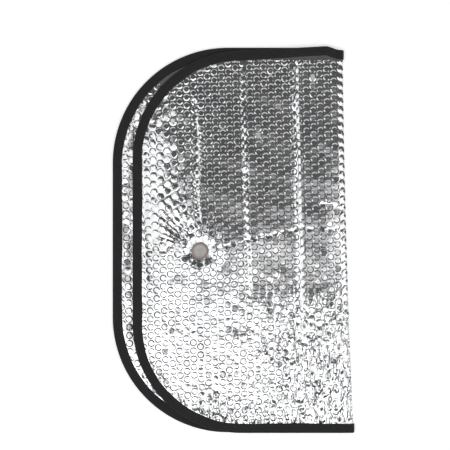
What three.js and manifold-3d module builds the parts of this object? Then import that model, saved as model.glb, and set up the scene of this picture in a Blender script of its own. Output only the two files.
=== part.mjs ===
// Car side window sunshade, folded in half and lying flat.
// One sheet of silver bubble foil, a fabric tape bound round its edge, and two clear suction cups
// that are buttoned through the foil, with their bells between the two halves.
// Millimetres, +Z up. X runs from the side edges to the fold, Y along the fold.
// The origin is under the middle of the folded sunshade, on the surface it lies on.
import * as THREE from 'three';
import { mergeVertices } from 'three/addons/utils/BufferGeometryUtils.js';
import Module from 'manifold-3d';

// Folded sheet, seen from above
const foldedHeight = 360;
const lowerWidth = 220.5;
const upperWidth = 201.5;
const lowerCornerRadius = 107.5;
const upperCornerRadius = 101;
const foldLean = THREE.MathUtils.degToRad(1.6);
const foldBow = 1.5;
const upperTopSlope = THREE.MathUtils.degToRad(3.1);
const upperTopRise = 1.6;
const foldEndDrop = 2.6;
const foldEndLength = 14;

// Foil: over its bubbles, pressed flat under the tape, and clamped by a suction cup
const foilThickness = 3.2;
const pressedThickness = 1.6;
const clampedThickness = 1.2;
const bubblePitch = 7.64;
const bubbleColumnPitch = 6.6;
const bubbleRelief = 1.1;

// Tape round the edge
const tapeWidth = 8;
const tapeThickness = 0.6;

// Suction cups: the upper one's distance from its side edge and from the bottom edge, and how far
// the lower one stands beside it
const cupInset = 62.5;
const cupHeight = 170;
const cupStagger = 19;
const headDiameter = 15.6;
const headHeight = 2.3;
const headRounding = 0.9;
const headDishDiameter = 9.7;
const headDishDepth = 0.9;
const neckDiameter = 6.5;
const bellDiameter = 30;
const bellDepth = 4;
const bellEdge = 0.55;
const bellRimWidth = 1.2;
const bellCrown = 2;

// Swell of the foil beside the fold, by its distance from the fold and the foil's lift there
const foldSwellDistance = 18;
const foldSwellLift = 1.9;

// Creases that run along the fold, by their distance from it and the foil's lift there
const nearCreaseDistance = 43;
const nearCreaseLift = 2.5;
const middleCreaseDistance = 91;
const middleCreaseLift = 5.6;
const creaseDepth = 0.9;

// Crease across the fold's direction, and the dish that a cup pulls into the foil round its head
const crossCreaseRise = 20.6;
const dishSlope = THREE.MathUtils.degToRad(8.5);
const dishWidth = 10;
const cupPuff = 1.5;

// Gap between neighbouring pieces
const clearance = 0.3;

const pressedHalf = pressedThickness / 2;
const clampedHalf = clampedThickness / 2;
const foilHalf = foilThickness / 2;
const topY = foldedHeight / 2;
const bottomY = -topY;
const foldTopY = topY - foldEndDrop;
const bellRadius = bellDiameter / 2;
const round = 24;

// Heights of the foil's middle along the edges of both halves: the tape lies on the floor, and the
// upper half's tape on the lower half's. The fold is as tight as its two tapes let it be.
const tapeOffset = pressedHalf + clearance + tapeThickness;
const lowerLevel = tapeOffset;
const upperLevel = lowerLevel + 2 * tapeOffset + clearance;
const foldRadius = (upperLevel - lowerLevel) / 2;
const foldLevel = lowerLevel + foldRadius;
const foldReach = foldRadius + pressedHalf;

// The fold's line at mid height, and the side edges of both halves
const foldX = (lowerWidth - topY * Math.tan(foldLean)) / 2;
const lowerSideX = foldX - lowerWidth;
const upperSideX = foldX - upperWidth;

// X of the line where the flat sheet ends and its bend begins
function bendX(y) {
  const bow = foldBow * (1 - (y / topY) ** 2);
  return foldX - y * Math.tan(foldLean) - bow - foldReach;
}

// Plan direction of that line, towards its top end
function bendDirection(y) {
  return new THREE.Vector3(2 * foldBow * y / topY ** 2 - Math.tan(foldLean), 1, 0).normalize();
}

// Distance of a plan position from the fold's line
function awayFromFold(x, y) {
  return (foldX - foldReach - x) * Math.cos(foldLean) - y * Math.sin(foldLean);
}

// Plan position at a distance from the fold's line and a distance along it
function atFold(away, along) {
  const dx = away * Math.cos(foldLean) + along * Math.sin(foldLean);
  const y = along * Math.cos(foldLean) - away * Math.sin(foldLean);
  return new THREE.Vector2(foldX - foldReach - dx, y);
}

// Piecewise straight line through points in rising order, level past both ends
function throughPoints(points, at) {
  const last = points.length - 1;
  if (at <= points[0][0]) return points[0][1];
  if (at >= points[last][0]) return points[last][1];
  const k = points.findIndex(([end]) => at < end);
  const [from, low] = points[k - 1];
  const [to, high] = points[k];
  return THREE.MathUtils.mapLinear(at, from, to, low, high);
}

// Bound edge of one half, from the fold's top end round the side to the fold's bottom end
function boundEdge(sideX, cornerRadius, slope, rise) {
  const topLine = (x) => topY + rise + Math.tan(slope) * (x - bendX(topY));
  const endX = bendX(foldTopY);
  const endDrop = foldTopY - topLine(endX);
  const topEdge = (x) => topLine(x) + endDrop * THREE.MathUtils.smoothstep(x, endX - foldEndLength, endX);
  const centreX = sideX + cornerRadius;
  const topCentreY = topLine(centreX) - cornerRadius / Math.cos(slope);
  const bottomCentreY = bottomY + cornerRadius;
  const onArc = (centreY, angle) => new THREE.Vector2(
    centreX + cornerRadius * Math.cos(angle), centreY + cornerRadius * Math.sin(angle));
  const topAngle = Math.PI / 2 + slope;
  const topTangentX = centreX + cornerRadius * Math.cos(topAngle);

  const points = [];
  const run = (steps, place) => {
    for (let k = 0; k < steps; k += 1) points.push(place(k / steps));
  };
  run(16, (t) => {
    const x = THREE.MathUtils.lerp(endX, topTangentX, t ** 1.4);
    return new THREE.Vector2(x, topEdge(x));
  });
  run(16, (t) => onArc(topCentreY, THREE.MathUtils.lerp(topAngle, Math.PI, t)));
  run(10, (t) => new THREE.Vector2(sideX, THREE.MathUtils.lerp(topCentreY, bottomCentreY, t)));
  run(16, (t) => onArc(bottomCentreY, THREE.MathUtils.lerp(Math.PI, 1.5 * Math.PI, t)));
  run(12, (t) => new THREE.Vector2(THREE.MathUtils.lerp(centreX, bendX(bottomY), t), bottomY));
  points.push(new THREE.Vector2(bendX(bottomY), bottomY));
  return points;
}

const lowerEdge = boundEdge(lowerSideX, lowerCornerRadius, 0, 0);
const upperEdge = boundEdge(upperSideX, upperCornerRadius, upperTopSlope, upperTopRise);

// Points along the line of the bend, between the two ends of the bound edge
const bendLine = [];
for (let k = 1; k < 24; k += 1) {
  const y = THREE.MathUtils.lerp(bottomY, foldTopY, k / 24);
  bendLine.push(new THREE.Vector2(bendX(y), y));
}

// Outward direction in plan at each point of a bound edge
function outwardDirections(edge) {
  return edge.map((point, k) => {
    const before = edge[Math.max(k - 1, 0)];
    const after = edge[Math.min(k + 1, edge.length - 1)];
    return new THREE.Vector2(before.y - after.y, after.x - before.x).negate().normalize();
  });
}

// How far inside the bound edge a plan position is
function depthInside(edge, point) {
  let depth = Infinity;
  for (let k = 1; k < edge.length; k += 1) {
    const side = edge[k].clone().sub(edge[k - 1]).normalize();
    const inward = new THREE.Vector2(-side.y, side.x);
    depth = Math.min(depth, point.clone().sub(edge[k]).dot(inward));
  }
  return depth;
}

// Suction cups: where they stand, and the height of the foil that each one clamps
const headBase = clampedHalf + clearance;
const bellRimZ = -headBase - bellDepth;
const cupY = bottomY + cupHeight;
const upperCupX = upperSideX + cupInset;
const lowerCup = new THREE.Vector3(upperCupX - cupStagger, cupY, clearance + headHeight + headBase);
const upperCup = new THREE.Vector3(upperCupX, cupY, lowerCup.z - 2 * bellRimZ + clearance);

// The upper half runs up from the fold over its creases to its cup, clears the lower cup's bell
// and falls to its side edge.
const upperCupAway = awayFromFold(upperCup.x, upperCup.y);
const rimClearance = 4 * clearance;
const ridge = [
  [0, 0],
  [foldSwellDistance, foldSwellLift],
  [nearCreaseDistance, nearCreaseLift],
  [middleCreaseDistance, middleCreaseLift],
  [upperCupAway, upperCup.z + cupPuff - upperLevel],
  [
    awayFromFold(lowerCup.x - bellRadius, lowerCup.y),
    lowerCup.z - bellRimZ + rimClearance + foilHalf - upperLevel,
  ],
  [awayFromFold(upperSideX + tapeWidth, cupY), 0],
];
const crossCrease = [
  [nearCreaseDistance, cupY + crossCreaseRise],
  [upperCupAway, cupY],
];

// Middle surface of the upper half, puffed up inside its level edges
function upperPuffed(x, y) {
  const away = awayFromFold(x, y);
  const crossY = throughPoints(crossCrease, away);
  const endY = y > crossY ? topY - tapeWidth : bottomY + tapeWidth;
  const fall = THREE.MathUtils.clamp((endY - y) / (endY - crossY), 0, 1);
  const open = upperLevel + throughPoints(ridge, away) * fall;
  const distance = Math.hypot(x - upperCup.x, y - upperCup.y);
  const dish = upperCup.z + Math.tan(dishSlope) * Math.max(distance - headDiameter / 2, 0);
  const free = THREE.MathUtils.smoothstep(distance, bellRadius, bellRadius + dishWidth);
  return THREE.MathUtils.lerp(dish, open, free);
}

// Middle surface of the lower half: flat, with a low rise over the head of its cup
function lowerPuffed(x, y) {
  const distance = Math.hypot(x - lowerCup.x, y - lowerCup.y);
  const free = THREE.MathUtils.smoothstep(distance, bellRadius, bellDiameter);
  return THREE.MathUtils.lerp(lowerCup.z, lowerLevel, free);
}

// Half the foil's thickness: bubbles, crushed in the creases, the hollows between them, and flat
// where a cup presses the foil
function halfThickness(cup, x, y, raised, creases) {
  const away = awayFromFold(x, y);
  const creased = raised && creases.some((crease) => Math.abs(away - crease) < bubbleColumnPitch / 2);
  const open = foilHalf - (raised ? 0 : bubbleRelief) - (creased ? creaseDepth : 0);
  const distance = Math.hypot(x - cup.x, y - cup.y);
  const free = THREE.MathUtils.smoothstep(distance, bellRadius, bellRadius + dishWidth);
  return THREE.MathUtils.lerp(clampedHalf, open, free);
}

// Closed surface that is put together point by point
class Skin {
  constructor() {
    this.positions = [];
    this.triangles = [];
  }

  point(x, y, z) {
    this.positions.push(x, y, z);
    return this.positions.length / 3 - 1;
  }

  triangle(a, b, c) {
    this.triangles.push(a, b, c);
  }

  // Quads between two equal rows of points
  strip(first, second) {
    for (let k = 1; k < first.length; k += 1) {
      this.triangles.push(first[k - 1], second[k - 1], second[k]);
      this.triangles.push(first[k - 1], second[k], first[k]);
    }
  }

  geometry() {
    const geometry = new THREE.BufferGeometry();
    geometry.setAttribute('position', new THREE.Float32BufferAttribute(this.positions, 3));
    geometry.setIndex(this.triangles);
    return geometry;
  }
}

// The rim of a lattice's kept cells, as one loop of lattice keys
function rimOfCells(cells) {
  const next = new Map();
  for (const [i, j] of cells.values()) {
    const corners = [[i, j], [i + 1, j], [i + 1, j + 1], [i, j + 1]];
    const neighbours = [[i, j - 1], [i + 1, j], [i, j + 1], [i - 1, j]];
    neighbours.forEach((neighbour, side) => {
      if (!cells.has(neighbour.join())) next.set(corners[side].join(), corners[(side + 1) % 4].join());
    });
  }
  const [start] = next.keys();
  const loop = [start];
  for (let key = next.get(start); key !== start; key = next.get(key)) loop.push(key);
  return loop;
}

// Flat ring between an outline and a rim, as corner triples that all turn left. The outline is
// drawn in and the rim out by a hair, because points exactly in line would be dropped.
function fillRing(outline, rim) {
  const hair = 1e-8;
  const bowed = (point, amount) => point.clone().multiplyScalar(1 + amount * point.lengthSq());
  const outside = outline.map((point) => bowed(point, hair));
  const inside = rim.map((point) => bowed(point, -hair));
  const triples = THREE.ShapeUtils.triangulateShape(outside, [inside]);
  const points = [...outside, ...inside];
  const area = THREE.ShapeUtils.area(triples[0].map((k) => points[k]));
  return area > 0 ? triples : triples.map(([a, b, c]) => [a, c, b]);
}

// One face of one half: a lattice that follows the fold, and a level border out to the edges
function addFace(skin, face) {
  const { edge, level, puffed, half, columnPitch, rowPitch, facesUp, border } = face;
  const side = face.side;
  const outline = [...edge, ...bendLine];
  const inset = tapeWidth + 2 * clearance;
  const fits = (point) => (
    depthInside(edge, point) > inset && point.x < bendX(point.y) - pressedHalf);

  const cells = new Map();
  const columns = Math.ceil(Math.max(lowerWidth, upperWidth) / columnPitch);
  const rows = Math.ceil(topY / rowPitch) + 1;
  for (let i = 0; i < columns; i += 1) {
    for (let j = -rows; j < rows; j += 1) {
      const corners = [[i, j], [i + 1, j], [i + 1, j + 1], [i, j + 1]];
      const inside = corners.every(([m, n]) => fits(atFold(m * columnPitch, n * rowPitch)));
      if (inside) cells.set([i, j].join(), [i, j]);
    }
  }

  const rim = rimOfCells(cells);
  const onRim = new Set(rim);
  const placed = new Map();
  const place = (m, n) => {
    const key = [m, n].join();
    if (!placed.has(key)) {
      const { x, y } = atFold(m * columnPitch, n * rowPitch);
      const raised = (m + n) % 2 === 0;
      const z = onRim.has(key)
        ? level + side * pressedHalf
        : puffed(x, y) + side * half(x, y, raised);
      placed.set(key, skin.point(x, y, z));
    }
    return placed.get(key);
  };
  for (const [i, j] of cells.values()) {
    const a = place(i, j);
    const b = place(i + 1, j);
    const c = place(i + 1, j + 1);
    const d = place(i, j + 1);
    // The corners turn right, as columns run towards the side edge. The hollows are joined.
    const halves = (i + j) % 2 === 0 ? [[a, d, b], [b, d, c]] : [[a, c, b], [a, d, c]];
    for (const [first, second, third] of halves) {
      skin.triangle(first, ...(facesUp ? [second, third] : [third, second]));
    }
  }

  const rimPlan = rim.map((key) => {
    const [m, n] = key.split(',').map(Number);
    return atFold(m * columnPitch, n * rowPitch);
  });
  const indices = [...border, ...rim.map((key) => placed.get(key))];
  for (const triple of fillRing(outline, rimPlan)) {
    const [a, b, c] = triple.map((k) => indices[k]);
    skin.triangle(a, ...(facesUp ? [b, c] : [c, b]));
  }
}

// Points of a half's outline on one face of the foil, its bound edge first and then the bend's line
function addBorder(skin, edge, level, offset) {
  return [...edge, ...bendLine].map(({ x, y }) => skin.point(x, y, level + offset));
}

// The bend, from the lower half's border to the upper half's, on one face of the foil
function addBend(skin, lowerBorder, upperBorder, radius, facesOut) {
  const bendSteps = 8;
  const stations = [bendX(bottomY), ...bendLine.map(({ x }) => x), bendX(foldTopY)];
  const heights = [bottomY, ...bendLine.map(({ y }) => y), foldTopY];
  const last = lowerEdge.length - 1;
  const alongBend = (border) => [border[last], ...border.slice(last + 1), border[0]];
  const rows = [alongBend(lowerBorder)];
  for (let k = 1; k < bendSteps; k += 1) {
    const angle = Math.PI * k / bendSteps;
    rows.push(stations.map((x, n) => skin.point(
      x + radius * Math.sin(angle), heights[n], foldLevel - radius * Math.cos(angle))));
  }
  rows.push(alongBend(upperBorder));
  for (let k = 1; k < rows.length; k += 1) {
    if (facesOut) skin.strip(rows[k], rows[k - 1]);
    else skin.strip(rows[k - 1], rows[k]);
  }
  return rows;
}

// Boolean cuts need the solid form of a mesh.
const wasm = await Module();
wasm.setup();

function toSolid(geometry) {
  const vertProperties = new Float32Array(geometry.attributes.position.array);
  const triVerts = new Uint32Array(geometry.index.array);
  return new wasm.Manifold(new wasm.Mesh({ numProp: 3, vertProperties, triVerts }));
}

function toGeometry(solid) {
  const { vertProperties, triVerts } = solid.getMesh();
  const geometry = new THREE.BufferGeometry();
  geometry.setAttribute('position', new THREE.BufferAttribute(vertProperties, 3));
  geometry.setIndex(new THREE.BufferAttribute(triVerts, 1));
  return geometry;
}

// A primitive with only its positions, so that its seams close
function welded(geometry) {
  geometry.deleteAttribute('normal');
  geometry.deleteAttribute('uv');
  return mergeVertices(geometry);
}

// Foil sheet: four faces, the bend that joins the halves, the pressed edge, and a hole at each cup
function makeFoil() {
  const skin = new Skin();
  const lowerOuter = addBorder(skin, lowerEdge, lowerLevel, -pressedHalf);
  const lowerInner = addBorder(skin, lowerEdge, lowerLevel, pressedHalf);
  const upperInner = addBorder(skin, upperEdge, upperLevel, -pressedHalf);
  const upperOuter = addBorder(skin, upperEdge, upperLevel, pressedHalf);
  const lower = { edge: lowerEdge, level: lowerLevel, puffed: lowerPuffed };
  const upper = { edge: upperEdge, level: upperLevel, puffed: upperPuffed };
  const outside = { columnPitch: bubbleColumnPitch, rowPitch: bubblePitch / 2 };
  const inside = { columnPitch: 2 * bubbleColumnPitch, rowPitch: 1.5 * bubblePitch };
  const flatInside = { columnPitch: 4 * bubbleColumnPitch, rowPitch: 3 * bubblePitch };
  const creases = [nearCreaseDistance, middleCreaseDistance, upperCupAway];
  const lowerPlain = (x, y) => halfThickness(lowerCup, x, y, true, []);
  const lowerBubbles = (x, y, raised) => halfThickness(lowerCup, x, y, raised, []);
  const upperPlain = (x, y) => halfThickness(upperCup, x, y, true, creases);
  const upperBubbles = (x, y, raised) => halfThickness(upperCup, x, y, raised, creases);
  const faces = [
    { ...lower, ...outside, half: lowerBubbles, side: -1, facesUp: false, border: lowerOuter },
    { ...lower, ...flatInside, half: lowerPlain, side: 1, facesUp: true, border: lowerInner },
    { ...upper, ...inside, half: upperPlain, side: -1, facesUp: false, border: upperInner },
    { ...upper, ...outside, half: upperBubbles, side: 1, facesUp: true, border: upperOuter },
  ];
  for (const face of faces) addFace(skin, face);

  const outerRows = addBend(skin, lowerOuter, upperOuter, foldRadius + pressedHalf, true);
  const innerRows = addBend(skin, lowerInner, upperInner, foldRadius - pressedHalf, false);
  const bottomEnd = (rows) => rows.map((row) => row[0]);
  const topEnd = (rows) => rows.map((row) => row[row.length - 1]);
  skin.strip(bottomEnd(innerRows), bottomEnd(outerRows));
  skin.strip(topEnd(outerRows), topEnd(innerRows));
  const count = lowerEdge.length;
  skin.strip(lowerInner.slice(0, count), lowerOuter.slice(0, count));
  skin.strip(upperOuter.slice(0, count), upperInner.slice(0, count));

  const holeRadius = neckDiameter / 2 + clearance;
  let solid = toSolid(skin.geometry());
  for (const cup of [lowerCup, upperCup]) {
    const hole = new THREE.CylinderGeometry(holeRadius, holeRadius, 2 * foilThickness, round);
    hole.rotateX(Math.PI / 2);
    hole.translate(cup.x, cup.y, cup.z);
    solid = solid.subtract(toSolid(welded(hole)));
  }
  return toGeometry(solid);
}

// Tape: one U-shaped section carried round the whole edge of the sheet, over the fold's ends too
function makeTape() {
  const outside = clearance + tapeThickness;
  const inner = pressedHalf + clearance;
  const section = [
    [-tapeWidth, tapeOffset],
    [outside, tapeOffset],
    [outside, -tapeOffset],
    [-tapeWidth, -tapeOffset],
    [-tapeWidth, -inner],
    [clearance, -inner],
    [clearance, inner],
    [-tapeWidth, inner],
  ];
  const skin = new Skin();
  const rings = [];
  const addRing = (centre, outward, faceNormal) => {
    rings.push(section.map(([out, up]) => skin.point(
      ...centre.clone().addScaledVector(outward, out).addScaledVector(faceNormal, up).toArray())));
  };
  const addEdge = (edge, level, faceNormal, order) => {
    const directions = outwardDirections(edge);
    for (const k of order) {
      const { x, y } = edge[k];
      const outward = new THREE.Vector3(directions[k].x, directions[k].y, 0);
      addRing(new THREE.Vector3(x, y, level), outward, faceNormal);
    }
  };
  const addBendEnd = (y, outward, fromAngle, toAngle) => {
    const bendSteps = 10;
    for (let k = 1; k < bendSteps; k += 1) {
      const angle = THREE.MathUtils.lerp(fromAngle, toAngle, k / bendSteps);
      const faceNormal = new THREE.Vector3(Math.sin(angle), 0, -Math.cos(angle));
      const centre = new THREE.Vector3(bendX(y), y, foldLevel);
      addRing(centre.addScaledVector(faceNormal, foldRadius), outward, faceNormal);
    }
  };
  const up = new THREE.Vector3(0, 0, 1);
  const down = new THREE.Vector3(0, 0, -1);
  const order = upperEdge.map((_, k) => k);
  addEdge(upperEdge, upperLevel, up, order);
  addBendEnd(bottomY, bendDirection(bottomY).negate(), Math.PI, 0);
  addEdge(lowerEdge, lowerLevel, down, order.toReversed());
  addBendEnd(foldTopY, bendDirection(foldTopY), 0, Math.PI);
  rings.forEach((ring, k) => {
    const next = rings[(k + 1) % rings.length];
    skin.strip([...next, next[0]], [...ring, ring[0]]);
  });
  return skin.geometry();
}

// Points of a smooth curve that leaves one profile point and is drawn towards another
function bend(from, towards, to, steps) {
  const curve = new THREE.QuadraticBezierCurve(
    new THREE.Vector2(...from), new THREE.Vector2(...towards), new THREE.Vector2(...to));
  return curve.getPoints(steps).map(({ x, y }) => [x, y]);
}

// Suction cup, head up: a shallow pressed bell, a neck through the foil and a dished button head
function makeCup() {
  const headRadius = headDiameter / 2;
  const neckRadius = neckDiameter / 2;
  const dishRadius = headDishDiameter / 2;
  const headTop = headBase + headHeight;
  const dishFloor = headTop - headDishDepth;
  const crownZ = -headBase - bellCrown;
  const hollowRadius = bellRadius - bellRimWidth;
  const profile = [
    ...bend([0, crownZ], [0.4 * hollowRadius, bellRimZ + bellEdge], [hollowRadius, bellRimZ], 5),
    [bellRadius, bellRimZ],
    ...bend([bellRadius, bellRimZ + bellEdge], [0.4 * bellRadius, bellRimZ + bellCrown / 2],
      [neckRadius, -headBase], 6),
    [neckRadius, headBase],
    [headRadius - headRounding / 2, headBase],
    ...bend([headRadius, headBase + headRounding], [headRadius, headTop],
      [headRadius - headRounding, headTop], 3),
    [dishRadius, headTop],
    [dishRadius - headDishDepth, dishFloor],
    [0, dishFloor],
  ];
  const points = profile.map(([r, z]) => new THREE.Vector2(r, z));
  const lathe = new THREE.LatheGeometry(points, round);
  lathe.rotateX(Math.PI / 2);
  return welded(lathe);
}

const foilMaterial = new THREE.MeshStandardMaterial({ color: 0xb9bdc2, metalness: 1, roughness: 0.3 });
const tapeMaterial = new THREE.MeshStandardMaterial({ color: 0x2c2d30, metalness: 0, roughness: 0.9 });
const cupMaterial = new THREE.MeshStandardMaterial({ color: 0xd9d6d0, metalness: 0, roughness: 0.15 });

function addPiece(group, name, geometry, material) {
  geometry.computeVertexNormals();
  const mesh = new THREE.Mesh(geometry, material);
  mesh.name = name;
  group.add(mesh);
  return mesh;
}

const sunshade = new THREE.Group();
addPiece(sunshade, 'foil_sheet', makeFoil(), foilMaterial);
addPiece(sunshade, 'edge_tape', makeTape(), tapeMaterial);
const upperCupMesh = addPiece(sunshade, 'upper_suction_cup', makeCup(), cupMaterial.clone());
upperCupMesh.position.copy(upperCup);
const lowerCupMesh = addPiece(sunshade, 'lower_suction_cup', makeCup(), cupMaterial.clone());
lowerCupMesh.position.copy(lowerCup);
lowerCupMesh.rotation.x = Math.PI;

// The origin goes under the middle of the folded sunshade.
sunshade.updateMatrixWorld(true);
const bounds = new THREE.Box3().setFromObject(sunshade);
const middle = bounds.getCenter(new THREE.Vector3());
sunshade.position.set(-middle.x, -middle.y, -bounds.min.z);

export default sunshade;
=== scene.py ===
import math

import bpy
import numpy as np
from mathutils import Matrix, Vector


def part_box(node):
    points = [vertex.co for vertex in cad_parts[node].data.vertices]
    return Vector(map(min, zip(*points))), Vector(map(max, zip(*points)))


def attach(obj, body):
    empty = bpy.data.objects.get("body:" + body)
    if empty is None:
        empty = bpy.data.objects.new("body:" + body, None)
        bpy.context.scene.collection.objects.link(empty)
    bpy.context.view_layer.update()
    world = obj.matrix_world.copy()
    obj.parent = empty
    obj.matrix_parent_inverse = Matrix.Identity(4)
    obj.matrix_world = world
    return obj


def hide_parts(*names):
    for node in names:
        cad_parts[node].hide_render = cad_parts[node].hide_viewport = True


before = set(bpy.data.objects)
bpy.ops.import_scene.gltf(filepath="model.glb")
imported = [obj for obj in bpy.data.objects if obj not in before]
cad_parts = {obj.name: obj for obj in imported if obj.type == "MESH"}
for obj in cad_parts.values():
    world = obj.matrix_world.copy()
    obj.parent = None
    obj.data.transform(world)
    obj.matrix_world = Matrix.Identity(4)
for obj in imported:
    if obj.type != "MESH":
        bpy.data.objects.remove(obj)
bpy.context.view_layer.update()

MM = 0.001

# The folded sheet, seen from above
FOLDED_HEIGHT = 360 * MM
LOWER_WIDTH = 220.5 * MM
UPPER_WIDTH = 201.5 * MM
LOWER_CORNER_RADIUS = 107.5 * MM
UPPER_CORNER_RADIUS = 101 * MM
FOLD_LEAN = math.radians(1.6)
FOLD_BOW = 1.5 * MM
FOLD_BOW_REACH = 80 * MM
UPPER_TOP_SLOPE = math.radians(3.1)
UPPER_TOP_RISE = 1.6 * MM
FOLD_END_DROP = 2.6 * MM
FOLD_END_LENGTH = 14 * MM

# Bubble foil: half its thickness between the bubbles, on them, under the tape and at a cup
VALLEY_HALF = 0.8 * MM
BUBBLE_HALF = 1.6 * MM
PRESSED_HALF = 0.8 * MM
CLAMPED_HALF = 0.6 * MM
BUBBLE_PITCH = 7.64 * MM
COLUMN_PITCH = 6.6 * MM
BUBBLE_FOOT = 3.5 * MM
BUBBLE_SHOULDER = 3.0 * MM
BUBBLE_TOP = 2.3 * MM
SHOULDER_RISE = 0.46
SOFTEST_FOLD = math.radians(19)
PULL_REACH = 24 * MM
SEEN_STRIP_WIDTH = 46 * MM
EDGE_INSET = 0.8 * MM
TAPE_PRESS_REACH = 1.4 * MM
CUP_CLAMP_START = 9 * MM
CUP_PRESS_START = 11 * MM
CUP_PRESS_END = 15 * MM
BEND_PRESS_REACH = 3 * MM
SMOOTH_BAND_EXTRA = 7 * MM
RAY_CRUSH = 0.9

# Tape round the edge
TAPE_WIDTH = 8 * MM
TAPE_THICKNESS = 0.6 * MM
CLEARANCE = 0.3 * MM

# Suction cups
HEAD_TOP = 3.2 * MM
HEAD_BASE = 0.9 * MM
HEAD_RADIUS = 7.8 * MM
DISH_RADIUS = 4.85 * MM
DISH_DEPTH = 0.9 * MM
NECK_RADIUS = 3.25 * MM
BELL_RADIUS = 15 * MM
BELL_DEPTH = 4 * MM
BELL_EDGE = 0.55 * MM
BELL_RIM_WIDTH = 1.2 * MM
BELL_CROWN = 2 * MM

TOP_Y = FOLDED_HEIGHT / 2
BOTTOM_Y = -TOP_Y
FOLD_TOP_Y = TOP_Y - FOLD_END_DROP
TAPE_OFFSET = PRESSED_HALF + CLEARANCE + TAPE_THICKNESS
LOWER_LEVEL = TAPE_OFFSET
UPPER_LEVEL = LOWER_LEVEL + 2 * TAPE_OFFSET + CLEARANCE
FOLD_RADIUS = (UPPER_LEVEL - LOWER_LEVEL) / 2
FOLD_LEVEL = LOWER_LEVEL + FOLD_RADIUS
FOLD_REACH = FOLD_RADIUS + PRESSED_HALF
HALF_BEND = math.pi * FOLD_RADIUS / 2
FOLD_X = (LOWER_WIDTH - TOP_Y * math.tan(FOLD_LEAN)) / 2
LOWER_SIDE_X = FOLD_X - LOWER_WIDTH
UPPER_SIDE_X = FOLD_X - UPPER_WIDTH

# The sheet's own drawing lies a little off the frame's origin. The foil node says how much.
foil_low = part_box("foil_sheet")[0]
SHEET_SHIFT = Vector((foil_low.x - LOWER_SIDE_X, foil_low.y - BOTTOM_Y, 0))


def cup_centre(node, facing):
    """Where a cup clamps the foil: in the middle of its node, the head's height from its head."""
    low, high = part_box(node)
    z = high.z - HEAD_TOP if facing > 0 else low.z + HEAD_TOP
    return Vector(((low.x + high.x) / 2, (low.y + high.y) / 2, z)) - SHEET_SHIFT


UPPER_CUP = cup_centre("upper_suction_cup", 1)
LOWER_CUP = cup_centre("lower_suction_cup", -1)


# Outline and lie of the sheet


def smooth_step(at, start, end):
    t = np.clip((at - start) / (end - start), 0, 1)
    return t * t * (3 - 2 * t)


def softened(at, points, reach):
    """Straight lines through points in rising order, with their corners rounded off."""
    places, values = zip(*points)
    offsets = np.linspace(-reach, reach, 7)
    return sum(np.interp(at + offset, places, values) for offset in offsets) / len(offsets)


def bend_x(y):
    """X of the line where the flat sheet ends and its bend begins."""
    bow = FOLD_BOW * (1 - (y / TOP_Y) ** 2)
    return FOLD_X - y * math.tan(FOLD_LEAN) - bow - FOLD_REACH


def away_from_fold(x, y):
    return (FOLD_X - FOLD_REACH - x) * math.cos(FOLD_LEAN) - y * math.sin(FOLD_LEAN)


def along_fold(x, y):
    return (FOLD_X - FOLD_REACH - x) * math.sin(FOLD_LEAN) + y * math.cos(FOLD_LEAN)


def at_fold(away, along):
    """Plan position at a distance from the fold's bend and a distance along it."""
    y = along * math.cos(FOLD_LEAN) - away * math.sin(FOLD_LEAN)
    bow = FOLD_BOW * (1 - (y / TOP_Y) ** 2) * (1 - smooth_step(away, 0, FOLD_BOW_REACH))
    dx = away * math.cos(FOLD_LEAN) + along * math.sin(FOLD_LEAN)
    return FOLD_X - FOLD_REACH - dx - bow, y


def bound_edge(side_x, corner_radius, slope, rise):
    """Bound edge of one half, from the fold's top end round the side to the fold's bottom end."""
    centre_x = side_x + corner_radius
    end_x = float(bend_x(FOLD_TOP_Y))

    def top_line(x):
        return TOP_Y + rise + math.tan(slope) * (x - bend_x(TOP_Y))

    end_drop = FOLD_TOP_Y - top_line(end_x)
    top_centre_y = top_line(centre_x) - corner_radius / math.cos(slope)
    bottom_centre_y = BOTTOM_Y + corner_radius
    top_angle = math.pi / 2 + slope
    tangent_x = centre_x + corner_radius * math.cos(top_angle)

    top_x = end_x + (tangent_x - end_x) * np.linspace(0, 1, 40, endpoint=False) ** 1.3
    drop = end_drop * smooth_step(top_x, end_x - FOLD_END_LENGTH, end_x)
    top = np.column_stack([top_x, top_line(top_x) + drop])

    def arc(centre_y, start, end):
        angle = np.linspace(start, end, 64, endpoint=False)
        x = centre_x + corner_radius * np.cos(angle)
        return np.column_stack([x, centre_y + corner_radius * np.sin(angle)])

    side_y = np.linspace(top_centre_y, bottom_centre_y, 56, endpoint=False)
    side = np.column_stack([np.full(56, side_x), side_y])
    bottom_x = np.linspace(centre_x, float(bend_x(BOTTOM_Y)), 40)
    bottom = np.column_stack([bottom_x, np.full(40, BOTTOM_Y)])
    upper_arc = arc(top_centre_y, top_angle, math.pi)
    lower_arc = arc(bottom_centre_y, math.pi, 1.5 * math.pi)
    return np.vstack([top, upper_arc, side, lower_arc, bottom])


LOWER_EDGE = bound_edge(LOWER_SIDE_X, LOWER_CORNER_RADIUS, 0, 0)
UPPER_EDGE = bound_edge(UPPER_SIDE_X, UPPER_CORNER_RADIUS, UPPER_TOP_SLOPE, UPPER_TOP_RISE)


def depth_inside(edge, x, y):
    """How far inside a bound edge plan positions are, and the way in from there."""
    side = np.diff(edge, axis=0)
    side /= np.linalg.norm(side, axis=1)[:, None]
    inward = np.column_stack([-side[:, 1], side[:, 0]])
    offset = np.sum(edge[1:] * inward, axis=1)
    depths = np.column_stack([x, y]) @ inward.T - offset
    nearest = np.argmin(depths, axis=1)
    return depths[np.arange(len(x)), nearest], inward[nearest]


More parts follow.
